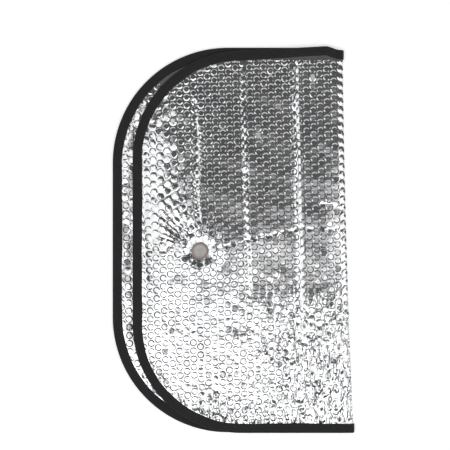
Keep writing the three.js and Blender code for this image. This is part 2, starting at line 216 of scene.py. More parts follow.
# The upper half rises from its tape over the creases to its cup and the lower cup's bell.
CUP_AWAY = float(away_from_fold(UPPER_CUP.x, UPPER_CUP.y))
BELL_AWAY = float(away_from_fold(LOWER_CUP.x - BELL_RADIUS, LOWER_CUP.y))
SIDE_AWAY = float(away_from_fold(UPPER_SIDE_X + TAPE_WIDTH, UPPER_CUP.y))
FOLD_SWELL = 18 * MM
NEAR_CREASE = 43 * MM
MIDDLE_CREASE = 91 * MM
RIDGE = (
    (0, 0),
    (FOLD_SWELL, 1.9 * MM),
    (NEAR_CREASE, 2.5 * MM),
    (MIDDLE_CREASE, 5.6 * MM),
    (CUP_AWAY, 9.7 * MM),
    (BELL_AWAY, 6.4 * MM),
    (SIDE_AWAY, 0),
)

# Rounding of the ridge's corners, and of its peak as a share of the fall to the tape. Then the reach
# over which the tape lets the sheet go loose, and lets it rise, and over which the bend does.
RIDGE_ROUNDING = 4 * MM
PEAK_ROUNDING = 0.05
LOOSE_REACH = 14 * MM
LIFT_REACH = 8 * MM
BEND_EASE = 5 * MM

# Gentle waves in the loose sheet: wavelength, height
BROAD_WAVE = (46 * MM, 0.3 * MM)
FINE_WAVE = (17 * MM, 0.06 * MM)
LOWER_WAVE = (38 * MM, 0.3 * MM)

# The fine crease across the fold falls by this much from the near crease to the cup.
CROSS_RISE = 20.6 * MM
CROSS_CREASE = ((NEAR_CREASE, UPPER_CUP.y + CROSS_RISE), (CUP_AWAY, UPPER_CUP.y))

# The sheet dips to the cup at this slope, and loses this share of it on the side towards the top.
DISH_SLOPE = math.tan(math.radians(8.5))
DISH_OPENING = 0.85
DISH_START = 14 * MM
DISH_END = 25 * MM

# Creases along the fold: distance from it, lowest and highest end, waviness, depth
LONG_CREASES = (
    (NEAR_CREASE, -92 * MM, 172 * MM, 0.5 * MM, 0.55 * MM),
    (MIDDLE_CREASE, -60 * MM, 172 * MM, 0.4 * MM, 0.55 * MM),
    (CUP_AWAY, UPPER_CUP.y + 16 * MM, 136 * MM, 1.0 * MM, 0.95 * MM),
)
CREASE_WIDTH = 2.6 * MM

# Share of its height that a bubble loses for each millimetre of a crease's depth
CREASE_CRUSH = 2.27

# Fine creases across the fold, and a short one near it that bends down towards it
CROSS_WIDTH = 1.7 * MM
CROSS_DEPTH = 0.4 * MM
SHORT_WIDTH = 2 * MM
SHORT_CREASE_Y = 34 * MM
SHORT_CREASE_START = 78 * MM
SHORT_CREASE_BEND = 92 * MM

# Fine rays that run from the cup to the upper left, between two directions in degrees
RAY_START = 104
RAY_END = 176
RAY_COUNT = 10
RAY_LIFT = 0.4 * MM
RAY_INNER = 12 * MM
RAY_FULL = 22 * MM
RAY_REACH = 60 * MM

# Puckers round the cup: direction and half width in degrees, lift, and the reach they fade over
PUCKERS = (
    (93, 9, 0.7 * MM, 14 * MM),
    (58, 9, 0.6 * MM, 14 * MM),
    (32, 7, -0.4 * MM, 12 * MM),
    (2, 12, 0.7 * MM, 12 * MM),
    (-30, 7, -0.6 * MM, 16 * MM),
    (-56, 9, 0.7 * MM, 16 * MM),
    (-80, 7, -0.8 * MM, 16 * MM),
    (-104, 6, 0.5 * MM, 10 * MM),
    (-122, 7, -0.6 * MM, 14 * MM),
    (-142, 8, 0.5 * MM, 12 * MM),
    (-164, 6, -0.4 * MM, 12 * MM),
)
PUCKER_RISEN = 13 * MM
PUCKER_FADING = 14 * MM


def groove(distance, width):
    """Depth from 0 to 1 of a V-shaped crease at a distance from its line."""
    return np.clip(1 - np.abs(distance) / width, 0, 1)


def long_creases(x, y):
    """How deep the sheet is in one of the creases along the fold."""
    away = away_from_fold(x, y)
    deepest = np.zeros_like(away)
    for distance, low_y, high_y, wave, depth in LONG_CREASES:
        line = distance + wave * np.sin(y / (13 * MM) + distance / MM)
        length = smooth_step(y, low_y, low_y + 14 * MM) * smooth_step(-y, -high_y, -high_y + 9 * MM)
        deepest = np.maximum(deepest, depth * groove(away - line, CREASE_WIDTH) * length)
    return deepest


def cross_creases(x, y):
    """How deep, from 0 to 1, the sheet is in one of the fine creases across the fold."""
    cross_y = np.interp(away_from_fold(x, y), *zip(*CROSS_CREASE))
    left = smooth_step(-x, -UPPER_CUP.x + 11 * MM, -UPPER_CUP.x + 15 * MM)
    right = smooth_step(x, UPPER_CUP.x + 14 * MM, UPPER_CUP.x + 20 * MM)
    wave = 0.5 * MM * np.sin(x / (9 * MM))
    line = groove(y - cross_y - wave, CROSS_WIDTH) * np.maximum(left, right)
    short_y = SHORT_CREASE_Y - np.maximum(x - SHORT_CREASE_BEND, 0) * 0.6
    short = groove(y - short_y, SHORT_WIDTH)
    short = short * smooth_step(x, SHORT_CREASE_START, SHORT_CREASE_START + 6 * MM)
    return np.maximum(line, 0.8 * short)


def round_cup(x, y):
    """Distance from the upper cup, and direction from it in degrees."""
    dx = x - UPPER_CUP.x
    dy = y - UPPER_CUP.y
    return np.hypot(dx, dy), np.degrees(np.arctan2(dy, dx))


def ray_share(radius, turn):
    """How strongly, from 0 to 1, the sheet is drawn into the fine rays."""
    fan = np.clip((turn - RAY_START) / (RAY_END - RAY_START), 0, 1)
    reached = np.exp(-np.maximum(radius - RAY_FULL, 0) / RAY_REACH)
    return np.sin(math.pi * fan) ** 0.5 * smooth_step(radius, RAY_INNER, RAY_FULL) * reached


def puckers(x, y):
    """Radial folds that a cup pulls into the sheet round it."""
    radius, turn = round_cup(x, y)
    height = np.zeros_like(radius)
    for direction, half_width, lift, reach in PUCKERS:
        off = (turn - direction + 180) % 360 - 180
        across = np.exp(-((off / half_width) ** 2))
        start = smooth_step(radius, HEAD_RADIUS, PUCKER_RISEN)
        height += lift * across * start * np.exp(-np.maximum(radius - PUCKER_FADING, 0) / reach)
    rays = np.sin(2 * math.pi * RAY_COUNT * (turn - RAY_START) / (RAY_END - RAY_START))
    return height + RAY_LIFT * rays * ray_share(radius, turn)


def ripple(x, y, wavelength, seed):
    """Gentle waves without a direction, from about -1 to 1."""
    waves = np.random.default_rng(seed)
    total = np.zeros_like(x)
    for _ in range(6):
        turn = waves.uniform(0, math.pi)
        length = wavelength * waves.uniform(0.7, 1.5)
        phase = waves.uniform(0, 2 * math.pi)
        total += np.sin(2 * math.pi * (x * math.cos(turn) + y * math.sin(turn)) / length + phase)
    return total / 3


def upper_middle(x, y, depth):
    """Height of the middle of the upper half."""
    away = away_from_fold(x, y)
    cross_y = np.interp(away, *zip(*CROSS_CREASE))
    end_y = np.where(y > cross_y, TOP_Y - TAPE_WIDTH, BOTTOM_Y + TAPE_WIDTH)
    fallen = np.clip((y - cross_y) / (end_y - cross_y), 0, 1)
    fallen = np.sqrt(fallen * fallen + PEAK_ROUNDING * PEAK_ROUNDING) - PEAK_ROUNDING
    free = smooth_step(depth, TAPE_WIDTH, TAPE_WIDTH + LOOSE_REACH)
    lift = softened(away, RIDGE, RIDGE_ROUNDING) * smooth_step(away, 0, BEND_EASE)
    lift *= np.maximum(1 - fallen, 0) * smooth_step(depth, TAPE_WIDTH, TAPE_WIDTH + LIFT_REACH)
    for seed, (wavelength, height) in ((5, BROAD_WAVE), (8, FINE_WAVE)):
        lift += height * ripple(x, y, wavelength, seed) * free
    lift -= long_creases(x, y) * free
    lift -= CROSS_DEPTH * cross_creases(x, y) * free
    radius, turn = round_cup(x, y)
    slope = DISH_SLOPE * (1 - DISH_OPENING * np.maximum(np.sin(np.radians(turn)), 0) ** 2)
    dish = UPPER_CUP.z + slope * np.maximum(radius - HEAD_RADIUS, 0)
    pulled = smooth_step(radius, DISH_START, DISH_END)
    settled = dish + (UPPER_LEVEL + lift - dish) * pulled
    return settled + puckers(x, y) * smooth_step(away, 0, 30 * MM) * free


def lower_middle(x, y, depth):
    """Height of the middle of the lower half: nearly flat, with a low rise over its cup's head."""
    free = smooth_step(depth, TAPE_WIDTH, TAPE_WIDTH + 5 * MM)
    wavelength, height = LOWER_WAVE
    open_height = LOWER_LEVEL + height * (1 + ripple(x, y, wavelength, 11)) * free
    radius = np.hypot(x - LOWER_CUP.x, y - LOWER_CUP.y)
    pulled = smooth_step(radius, BELL_RADIUS, 2 * BELL_RADIUS)
    return LOWER_CUP.z + (open_height - LOWER_CUP.z) * pulled


# Foil sheet


class BubbleFilms:
    """The two films of the sheet, on one lattice of six-sided cells that runs through the fold."""

    CORNERS = ((2, 0), (1, 1), (-1, 1), (-2, 0), (-1, -1), (1, -1))
    NEIGHBOURS = ((3, 1), (0, 2), (-3, 1), (-3, -1), (0, -2), (3, -1))
    OUTER = 1
    INNER = -1
    COLUMNS = range(-36, 34)
    ROWS = range(-26, 27)

    def __init__(self):
        self.across_step = COLUMN_PITCH / 3
        self.along_step = BUBBLE_PITCH / 2
        self.cups = [self.flat_place(UPPER_CUP, 1), self.flat_place(LOWER_CUP, -1)]
        self.cup_cells = []
        self.points = []
        self.faces = []
        self.corners = {}

    def flat_place(self, cup, half):
        """Distances across and along the flat sheet of a cup on one of its halves."""
        across = float(away_from_fold(cup.x, cup.y)) + HALF_BEND
        return half * across, float(along_fold(cup.x, cup.y))

    def place(self, key):
        """Distances across and along the flat sheet of a point of the lattice."""
        return HALF_BEND + key[0] * self.across_step, key[1] * self.along_step

    def cells(self):
        """Keys of all cells whose middle is on the sheet, without the two that the cups go through."""
        keys = [(3 * column, 2 * row + column % 2) for column in self.COLUMNS for row in self.ROWS]
        across, along = np.array([self.place(key) for key in keys]).T
        x, y = at_fold(np.maximum(np.abs(across) - HALF_BEND, 0), along)
        depth = sheet_depth(across, x, y)[0]
        kept = {key for key, inside in zip(keys, depth) if inside > 1 * MM}
        self.cup_cells = [
            min(sorted(kept), key=lambda key: math.dist(self.place(key), cup)) for cup in self.cups]
        return kept.difference(self.cup_cells)

    def point(self, across, along, rise, side):
        self.points.append((across, along, rise, side))
        return len(self.points) - 1

    def corner(self, key, side):
        if (key, side) not in self.corners:
            self.corners[key, side] = self.point(*self.place(key), 0, side)
        return self.corners[key, side]

    def face(self, side, *indices):
        """Indices turn left on the flat sheet, which is inwards on the folded one."""
        self.faces.append(indices if side == self.INNER else indices[::-1])

    def ring(self, centre, radius, rise, tilt, steps, side):
        across, along = centre
        indices = []
        for k in range(steps):
            turn = 2 * math.pi * k / steps
            lean = radius * (tilt[0] * math.cos(turn) + tilt[1] * math.sin(turn)) if rise else 0
            place = (across + radius * math.cos(turn), along + radius * math.sin(turn))
            indices.append(self.point(*place, rise + lean / (BUBBLE_HALF - VALLEY_HALF), side))
        return indices

    def strip(self, outside, inside, side):
        for k in range(len(outside)):
            after = (k + 1) % len(outside)
            self.face(side, outside[k], outside[after], inside[after], inside[k])

    def fan(self, ring, middle, side):
        for k in range(len(ring)):
            self.face(side, ring[k], ring[(k + 1) % len(ring)], middle)

    def cell(self, key, side, kind, fullness, tilt):
        """One cell of a film: a round bubble, a plainer one where it is hardly seen, or flat."""
        corners = [self.corner((key[0] + i, key[1] + j), side) for i, j in self.CORNERS]
        centre = self.place(key)
        if kind == "flat":
            self.fan(corners, self.point(*centre, 0, side), side)
            return
        if kind == "plain":
            foot = self.ring(centre, BUBBLE_FOOT, 0, tilt, 6, side)
            top = self.ring(centre, BUBBLE_TOP, fullness, tilt, 6, side)
            self.strip(corners, foot, side)
            self.strip(foot, top, side)
            self.fan(top, self.point(*centre, fullness, side), side)
            return
        foot = self.ring(centre, BUBBLE_FOOT, 0, tilt, 12, side)
        shoulder = self.ring(centre, BUBBLE_SHOULDER, SHOULDER_RISE * fullness, tilt, 12, side)
        top = self.ring(centre, BUBBLE_TOP, fullness, tilt, 12, side)
        for k, corner in enumerate(corners):
            self.face(side, corner, foot[2 * k + 1], foot[2 * k], foot[2 * k - 1])
            self.face(side, corner, corners[(k + 1) % 6], foot[2 * k + 1])
        self.strip(foot, shoulder, side)
        self.strip(shoulder, top, side)
        self.fan(top, self.point(*centre, fullness * 1.04, side), side)

    def walls(self, kept):
        """Joins the two films wherever the kept cells end."""
        for key in sorted(kept):
            for k, (i, j) in enumerate(self.NEIGHBOURS):
                if (key[0] + i, key[1] + j) in kept:
                    continue
                ends = [self.CORNERS[k], self.CORNERS[(k + 1) % 6]]
                first, second = [(key[0] + m, key[1] + n) for m, n in ends]
                self.faces.append((
                    self.corner(first, self.OUTER), self.corner(second, self.OUTER),
                    self.corner(second, self.INNER), self.corner(first, self.INNER)))


def sheet_depth(across, x, y):
    """How far inside the sheet's edge points are, and the way in, on either half or the bend."""
    upper, upper_inward = depth_inside(UPPER_EDGE, x, y)
    lower, lower_inward = depth_inside(LOWER_EDGE, x, y)
    on_upper = across > 0
    depth = np.where(on_upper, upper, lower)
    inward = np.where(on_upper[:, None], upper_inward, lower_inward)
    return depth, inward


def half_thickness(across, along, x, y, depth, rise):
    """Half the sheet's thickness: less under the tape, at a cup, round the bend and in a crease."""
    cup_x = np.where(across > 0, UPPER_CUP.x, LOWER_CUP.x)
    radius = np.hypot(x - cup_x, y - UPPER_CUP.y)
    bound = 1 - smooth_step(depth, TAPE_WIDTH, TAPE_WIDTH + TAPE_PRESS_REACH)
    clamped = 1 - smooth_step(radius, CUP_CLAMP_START, CUP_PRESS_END)
    crushed = np.maximum(bound, 1 - smooth_step(radius, CUP_PRESS_START, CUP_PRESS_END))
    from_bend = np.abs(across) - HALF_BEND
    smooth_band = BEND_PRESS_REACH + SMOOTH_BAND_EXTRA * smooth_step(-along, 70 * MM, 110 * MM)
    crushed = np.maximum(crushed, 1 - smooth_step(from_bend / smooth_band, 0, 1))
    creases = np.maximum(CREASE_CRUSH * long_creases(x, y) / MM, 0.8 * cross_creases(x, y))
    crushed = np.maximum(crushed, np.where(across > 0, np.minimum(creases, 0.9), 0))
    drawn = ray_share(*round_cup(x, y))
    crushed = np.maximum(crushed, np.where(across > 0, RAY_CRUSH * drawn, 0))
    half = VALLEY_HALF + (BUBBLE_HALF - VALLEY_HALF) * rise * (1 - crushed)
    half = half + (PRESSED_HALF - half) * bound
    return half + (CLAMPED_HALF - half) * clamped


def folded_places(films):
    """Places of the films' points on the folded sheet."""
    across, along, rise, side = np.array(films.points).T
    for cup, key in zip(films.cups, films.cup_cells):
        cell = films.place(key)
        pull = np.exp(-((np.hypot(across - cell[0], along - cell[1]) / PULL_REACH) ** 2))
        across = across + pull * (cup[0] - cell[0])
        along = along + pull * (cup[1] - cell[1])

    away = np.maximum(np.abs(across) - HALF_BEND, 0)
    x, y = at_fold(away, along)
    depth, inward = sheet_depth(across, x, y)
    short = np.maximum(EDGE_INSET - depth, 0)
    x = x + inward[:, 0] * short
    y = y + inward[:, 1] * short
    depth = np.maximum(depth, EDGE_INSET)

    offset = half_thickness(across, along, x, y, depth, rise) * side
    bend_turn = math.pi / 2 + np.clip(across, -HALF_BEND, HALF_BEND) / FOLD_RADIUS
    reach = FOLD_RADIUS + offset
    x = x + np.where(away > 0, 0, reach * np.sin(bend_turn))
    z = FOLD_LEVEL - reach * np.cos(bend_turn)
    upper_z = upper_middle(x, y, depth) + offset
    lower_z = lower_middle(x, y, depth) - offset
    z = np.where(across > HALF_BEND, upper_z, z)
    z = np.where(across < -HALF_BEND, lower_z, z)
    return np.column_stack([x, y, z]) + np.array(SHEET_SHIFT)


def deselect_all():
    for piece in bpy.context.selected_objects:
        piece.select_set(False)


def new_piece(name, points, faces):
    """A smooth piece from its points and faces."""
    mesh = bpy.data.meshes.new(name)
    mesh.from_pydata([tuple(point) for point in points], [], faces)
    mesh.shade_smooth()
    piece = bpy.data.objects.new(name, mesh)
    bpy.context.scene.collection.objects.link(piece)
    return piece


def handled_share(across, along):
    """How much, from 0 to 1, the bubbles of a place are dented: most below, and by the side edge."""
    below = smooth_step(-along, 5 * MM, 95 * MM)
    beside = 0.75 * smooth_step(abs(across), 118 * MM, 180 * MM)
    return float(np.maximum(below, beside))


def creased_share(across, along):
    """How much, from 0 to 1, the bubbles of a place are flattened into columns along the fold."""
    return float(smooth_step(-along, 50 * MM, 100 * MM) * smooth_step(-abs(across), -75 * MM, -45 * MM))


def make_foil():
    films = BubbleFilms()
    kept = films.cells()
    draw = np.random.default_rng(31)
    for key in sorted(kept):
        across, along = films.place(key)
        pressed = handled_share(across, along)
        fullness = draw.uniform(0.88, 1) - pressed * draw.uniform(0, 0.5)
        fullness *= 1 - 0.5 * creased_share(across, along)
        tilt = draw.normal(0, 0.018 + 0.05 * pressed, 2)
        in_strip = across < -(LOWER_WIDTH - SEEN_STRIP_WIDTH)
        films.cell(key, films.OUTER, "round" if across > 0 else "plain", fullness, tilt)
        films.cell(key, films.INNER, "round" if in_strip else "flat", fullness, tilt)
    films.walls(kept)
    foil = new_piece("bubble_foil", folded_places(films), films.faces)
    deselect_all()
    foil.select_set(True)
    bpy.context.view_layer.objects.active = foil
    bpy.ops.object.shade_smooth_by_angle(angle=SOFTEST_FOLD)
    return foil


# Tape


def outward_directions(edge):
    along = np.gradient(edge, axis=0)
    along /= np.linalg.norm(along, axis=1)[:, None]
    return np.column_stack([along[:, 1], -along[:, 0]])


def tape_path():
    """Stations round the whole edge: place on the sheet's middle, way out, and the sheet's face."""
    stations = []

    def along_edge(edge, level, up, order):
        outward = outward_directions(edge)
        for k in order:
            place = Vector((edge[k][0], edge[k][1], level))
            stations.append((place, Vector((*outward[k], 0)), Vector((0, 0, up))))

    def round_fold(y, outward, start, end):
        steps = 14
        for k in range(1, steps):
            turn = start + (end - start) * k / steps
            face = Vector((math.sin(turn), 0, -math.cos(turn)))
            place = Vector((float(bend_x(y)), y, FOLD_LEVEL)) + FOLD_RADIUS * face
            stations.append((place, outward, face))

    upper_out = outward_directions(UPPER_EDGE)
    order = range(len(UPPER_EDGE))
    along_edge(UPPER_EDGE, UPPER_LEVEL, 1, order)
    round_fold(BOTTOM_Y, Vector((*upper_out[-1], 0)), math.pi, 0)
    along_edge(LOWER_EDGE, LOWER_LEVEL, -1, reversed(order))
    round_fold(FOLD_TOP_Y, Vector((*upper_out[0], 0)), 0, math.pi)
    return stations


def tape_section():
    """The U-shaped section as (out, up) points, from the upper leg's lip round to the lower's."""
    outside = CLEARANCE + TAPE_THICKNESS
    round_radius = 1.1 * MM
    lip = 0.25 * MM
    leg_steps = 5
    outer = [(-TAPE_WIDTH, TAPE_OFFSET - 0.45 * MM), (-TAPE_WIDTH + lip, TAPE_OFFSET - 0.16 * MM)]
    for k in range(leg_steps):
        out = -TAPE_WIDTH + 1 * MM + (TAPE_WIDTH - 1.4 * MM) * k / leg_steps
        outer.append((out, TAPE_OFFSET))
    for k in range(5):
        turn = math.pi / 2 * k / 4
        centre = (outside - round_radius, TAPE_OFFSET - round_radius)
        outer.append((
            centre[0] + round_radius * math.sin(turn), centre[1] + round_radius * math.cos(turn)))
    inner_level = PRESSED_HALF + 0.05 * MM
    inner = [(0.2 * MM, inner_level), (-TAPE_WIDTH, inner_level)]
    mirrored = [(out, -up) for out, up in reversed(outer)]
    return outer + mirrored + [(out, -up) for out, up in reversed(inner)] + inner


def make_tape():
    section = tape_section()
    stations = tape_path()
    points = []
    lengths = []
    length = 0
    previous = stations[-1][0]
    for place, outward, face in stations:
        length += (place - previous).length
        previous = place
        lengths.append(length)
        narrow = 0.22 * MM * math.sin(length / (17 * MM)) + 0.12 * MM * math.sin(length / (5.3 * MM))
        for out, up in section:
            edge_share = max(-out / TAPE_WIDTH, 0)
            wave = 0.05 * MM * math.sin(length / (3.1 * MM) + 2 * out / MM) * edge_share
            swell = 0.06 * MM * math.sin(length / (9 * MM)) * math.sin(math.pi * edge_share)
            lift = (wave + swell) * math.copysign(1, up) if abs(up) > PRESSED_HALF + 0.1 * MM else 0
            points.append(place + outward * (out + narrow * edge_share) + face * (up + lift))
    count = len(section)
    faces = []
    for ring in range(len(stations)):
        after = (ring + 1) % len(stations)
        for k in range(count):
            turn = (k + 1) % count
            faces.append((
                ring * count + k, ring * count + turn, after * count + turn, after * count + k))
    tape = new_piece("woven_edge_tape", [point + SHEET_SHIFT for point in points], faces)
    lay_out_tape(tape, section, lengths)
    return tape


def lay_out_tape(tape, section, lengths):
    """UV map in metres: along the tape, and across it from lip to lip."""
    count = len(section)
    across = [0]
    for k in range(1, count + 1):
        here = Vector(section[k % count])
        across.append(across[-1] + (here - Vector(section[k - 1])).length)
    total = lengths[-1] + (lengths[1] - lengths[0])
    layout = tape.data.uv_layers.new(name="weave")
    for face in tape.data.polygons:
        ring, k = divmod(face.index, count)
        after = lengths[ring + 1] if ring + 1 < len(lengths) else total
        corners = ((lengths[ring], k), (lengths[ring], k + 1), (after, k + 1), (after, k))
        for loop, (along, turn) in zip(face.loop_indices, corners):
            layout.data[loop].uv = (along, across[turn])


# Suction cups


def cup_profile():
    """(radius, height) from the bell's hollow round its rim and up the neck to the dished head."""
    bell_rim = -HEAD_BASE - BELL_DEPTH
    crown = -HEAD_BASE - BELL_CROWN
    hollow_radius = BELL_RADIUS - BELL_RIM_WIDTH

    def curve(start, towards, end, steps):
        points = []
        for k in range(steps + 1):
            t = k / steps
            points.append(tuple(
                (1 - t) ** 2 * a + 2 * t * (1 - t) * b + t * t * c
                for a, b, c in zip(start, towards, end)))
        return points

    hollow = curve(
        (0.5 * MM, crown), (0.4 * hollow_radius, bell_rim + BELL_EDGE), (hollow_radius, bell_rim), 10)
    rim = [
        (hollow_radius + 0.3 * MM, bell_rim),
        (BELL_RADIUS - 0.15 * MM, bell_rim),
        (BELL_RADIUS, bell_rim + 0.15 * MM),
        (BELL_RADIUS, bell_rim + BELL_EDGE - 0.1 * MM),
    ]
    back = curve(
        (BELL_RADIUS - 0.1 * MM, bell_rim + BELL_EDGE), (0.4 * BELL_RADIUS, bell_rim + BELL_CROWN / 2),
        (NECK_RADIUS, -HEAD_BASE), 12)
    neck = [(NECK_RADIUS, HEAD_BASE - 0.35 * MM), (NECK_RADIUS + 0.3 * MM, HEAD_BASE)]
    head = [(HEAD_RADIUS - 0.75 * MM, HEAD_BASE), (HEAD_RADIUS - 0.25 * MM, HEAD_BASE + 0.2 * MM)]
    head += curve(
        (HEAD_RADIUS, HEAD_BASE + 0.8 * MM), (HEAD_RADIUS, HEAD_TOP),
        (HEAD_RADIUS - 1.1 * MM, HEAD_TOP), 6)
    dish_floor = HEAD_TOP - DISH_DEPTH
    dish = [(DISH_RADIUS + 0.35 * MM, HEAD_TOP)]
    dish += curve(
        (DISH_RADIUS, HEAD_TOP - 0.12 * MM), (DISH_RADIUS - 0.35 * MM, dish_floor),
        (DISH_RADIUS - 1.1 * MM, dish_floor), 4)
    nub = [
        (1.5 * MM, dish_floor),
        (1.1 * MM, dish_floor + 0.1 * MM),
        (0.9 * MM, dish_floor + 0.35 * MM),
        (0.4 * MM, dish_floor + 0.4 * MM),
    ]
    return hollow + rim + back + neck + head + dish + nub


def make_cup(name, centre, facing):
    """A cup turned up ring by ring from its hollow, head up, or head down where it faces down."""
    deselect_all()
    profile = cup_profile()
    middle = centre + SHEET_SHIFT
    radius, height = profile[0]
    bpy.ops.mesh.primitive_circle_add(
        vertices=72, radius=radius, fill_type="TRIFAN", location=(middle.x, middle.y, middle.z + height))
    cup = bpy.context.object
    cup.name = name
    bpy.ops.object.transform_apply(location=True, rotation=True, scale=True)
    bpy.ops.object.mode_set(mode="EDIT")
    bpy.ops.mesh.select_mode(type="EDGE")
    bpy.ops.mesh.select_all(action="DESELECT")
    bpy.ops.mesh.select_non_manifold()
    for next_radius, next_height in profile[1:]:
        pivot = (middle.x, middle.y, middle.z + height)
        bpy.ops.mesh.extrude_edges_move(
            TRANSFORM_OT_translate={"value": (0, 0, next_height - height)})
        growth = next_radius / radius
        bpy.ops.transform.resize(value=(growth, growth, 1), center_override=pivot)
        radius = next_radius
        height = next_height
    bpy.ops.mesh.edge_face_add()
    bpy.ops.mesh.poke()
    bpy.ops.mesh.select_all(action="SELECT")
    if facing < 0:
        bpy.ops.transform.resize(value=(1, 1, -1), center_override=tuple(middle))
    bpy.ops.mesh.normals_make_consistent(inside=False)
    bpy.ops.object.mode_set(mode="OBJECT")
    bpy.ops.object.shade_smooth_by_angle(angle=math.radians(40))
    return cup


# Seam


def make_stitch():
    """One stitch of thread along X: a short thick loop that dips into the tape at both ends."""
    deselect_all()
    bpy.ops.mesh.primitive_cylinder_add(vertices=6, radius=0.2 * MM, depth=1.5 * MM)
    stitch = bpy.context.object
    bpy.ops.object.mode_set(mode="EDIT")
    bpy.ops.transform.rotate(value=math.pi / 2, orient_axis="Y", center_override=(0, 0, 0))
    for end in (-1, 1):
        bpy.ops.mesh.select_all(action="DESELECT")
        bpy.ops.object.mode_set(mode="OBJECT")
        for vertex in stitch.data.vertices:
            vertex.select = vertex.co.x * end > 0
        bpy.ops.object.mode_set(mode="EDIT")
        bpy.ops.mesh.extrude_region_move(
            TRANSFORM_OT_translate={"value": (end * 0.6 * MM, 0, -0.28 * MM)})
        tip = (end * 1.35 * MM, 0, -0.28 * MM)
        bpy.ops.transform.resize(value=(0.5, 0.5, 0.5), center_override=tip)
    bpy.ops.object.mode_set(mode="OBJECT")
    return stitch


def make_seam():
    """The stitch copied round the tape's two faces, a little inside its lips."""
    stitch = make_stitch()
    shape = np.array([vertex.co for vertex in stitch.data.vertices])
    shape_faces = [tuple(face.vertices) for face in stitch.data.polygons]
    bpy.data.objects.remove(stitch)
    pitch = 3.6 * MM
    inset = TAPE_WIDTH - 1.7 * MM
    stations = tape_path()
    points = []
    faces = []
    travelled = 0
    due = pitch
    for (place, outward, face), (after, _, _) in zip(stations, stations[1:]):
        step = after - place
        while due <= travelled + step.length:
            middle = place + step * ((due - travelled) / step.length) - outward * inset
            along = step.normalized()
            for side in (1, -1):
                up = face * side
                aside = up.cross(along)
                start = len(points)
                base = middle + up * (TAPE_OFFSET - 0.08 * MM) + SHEET_SHIFT
                turned = shape @ np.array([along, aside, up]) + np.array(base)
                points.extend(turned)
                faces.extend(tuple(start + k for k in corners) for corners in shape_faces)
            due += pitch
        travelled += step.length
    return new_piece("seam_stitches", points, faces)


# Finishes

FLOOR_GLOW = 0.49


class Wire:
    """A shader socket that adds Math nodes when it is used in a sum or a product."""

    def __init__(self, shader, socket):
        self.shader = shader
        self.socket = socket

    def math(self, operation, *others):
        values = {0: self}
        values.update({k + 1: other for k, other in enumerate(others)})
        return self.shader.node("ShaderNodeMath", {"operation": operation}, values)

    def __add__(self, other):
        return self.math("ADD", other)

    __radd__ = __add__

    def __mul__(self, other):
        return self.math("MULTIPLY", other)

    __rmul__ = __mul__


class Nodes:
    """A tree of shader nodes."""

    def __init__(self, tree):
        self.tree = tree

    def node(self, kind, settings=None, values=None, output=0):
        made = self.tree.nodes.new(kind)
        for name, value in (settings or {}).items():
            setattr(made, name, value)
        for name, value in (values or {}).items():
            self.feed(made.inputs[name], value)
        return Wire(self, made.outputs[output])

    def feed(self, socket, value):
        if isinstance(value, Wire):
            self.tree.links.new(value.socket, socket)
        elif hasattr(value, "__len__") and len(value) == 3 and socket.type == "RGBA":
            socket.default_value = (*value, 1)
        else:
            socket.default_value = value

    def place(self):
        return self.node("ShaderNodeTexCoord", output="Object")

    def layout(self, name):
        return self.node("ShaderNodeUVMap", {"uv_map": name})

    def noise(self, vector, scale, detail=3, roughness=0.5, distortion=0):
        values = {"Vector": vector, "Scale": scale, "Detail": detail}
        values.update({"Roughness": roughness, "Distortion": distortion})
        return self.node("ShaderNodeTexNoise", None, values)

    def part(self, vector, axis):
        return self.node("ShaderNodeSeparateXYZ", None, {"Vector": vector}, axis)

    def stretched(self, vector, factors):
        return self.node("ShaderNodeVectorMath", {"operation": "MULTIPLY"}, {0: vector, 1: factors})

    def distance(self, vector, point):
        settings = {"operation": "DISTANCE"}
        return self.node("ShaderNodeVectorMath", settings, {0: vector, 1: point}, "Value")

    def spread(self, value, low, high, to_low, to_high):
        """A value from one range to another, held at its ends."""
        names = ("Value", "From Min", "From Max", "To Min", "To Max")
        return self.node("ShaderNodeMapRange", None, dict(zip(names, (value, low, high, to_low, to_high))))

    def mix(self, share, first, second):
        made = self.tree.nodes.new("ShaderNodeMix")
        made.data_type = "RGBA"
        self.feed(made.inputs["Factor"], share)
        self.feed([s for s in made.inputs if s.name == "A" and s.type == "RGBA"][0], first)
        self.feed([s for s in made.inputs if s.name == "B" and s.type == "RGBA"][0], second)
        return Wire(self, [s for s in made.outputs if s.type == "RGBA"][0])

    def bump(self, height, depth, strength=1.0):
        values = {"Height": height, "Distance": depth, "Strength": strength}
        return self.node("ShaderNodeBump", None, values)


class Finish(Nodes):
    """A material that is built node by node."""

    def __init__(self, name):
        self.material = bpy.data.materials.new(name)
        self.material.use_nodes = True
        super().__init__(self.material.node_tree)
        self.surface = self.tree.nodes["Principled BSDF"]

    def set(self, **values):
        for name, value in values.items():
            self.feed(self.surface.inputs[name.replace("_", " ")], value)


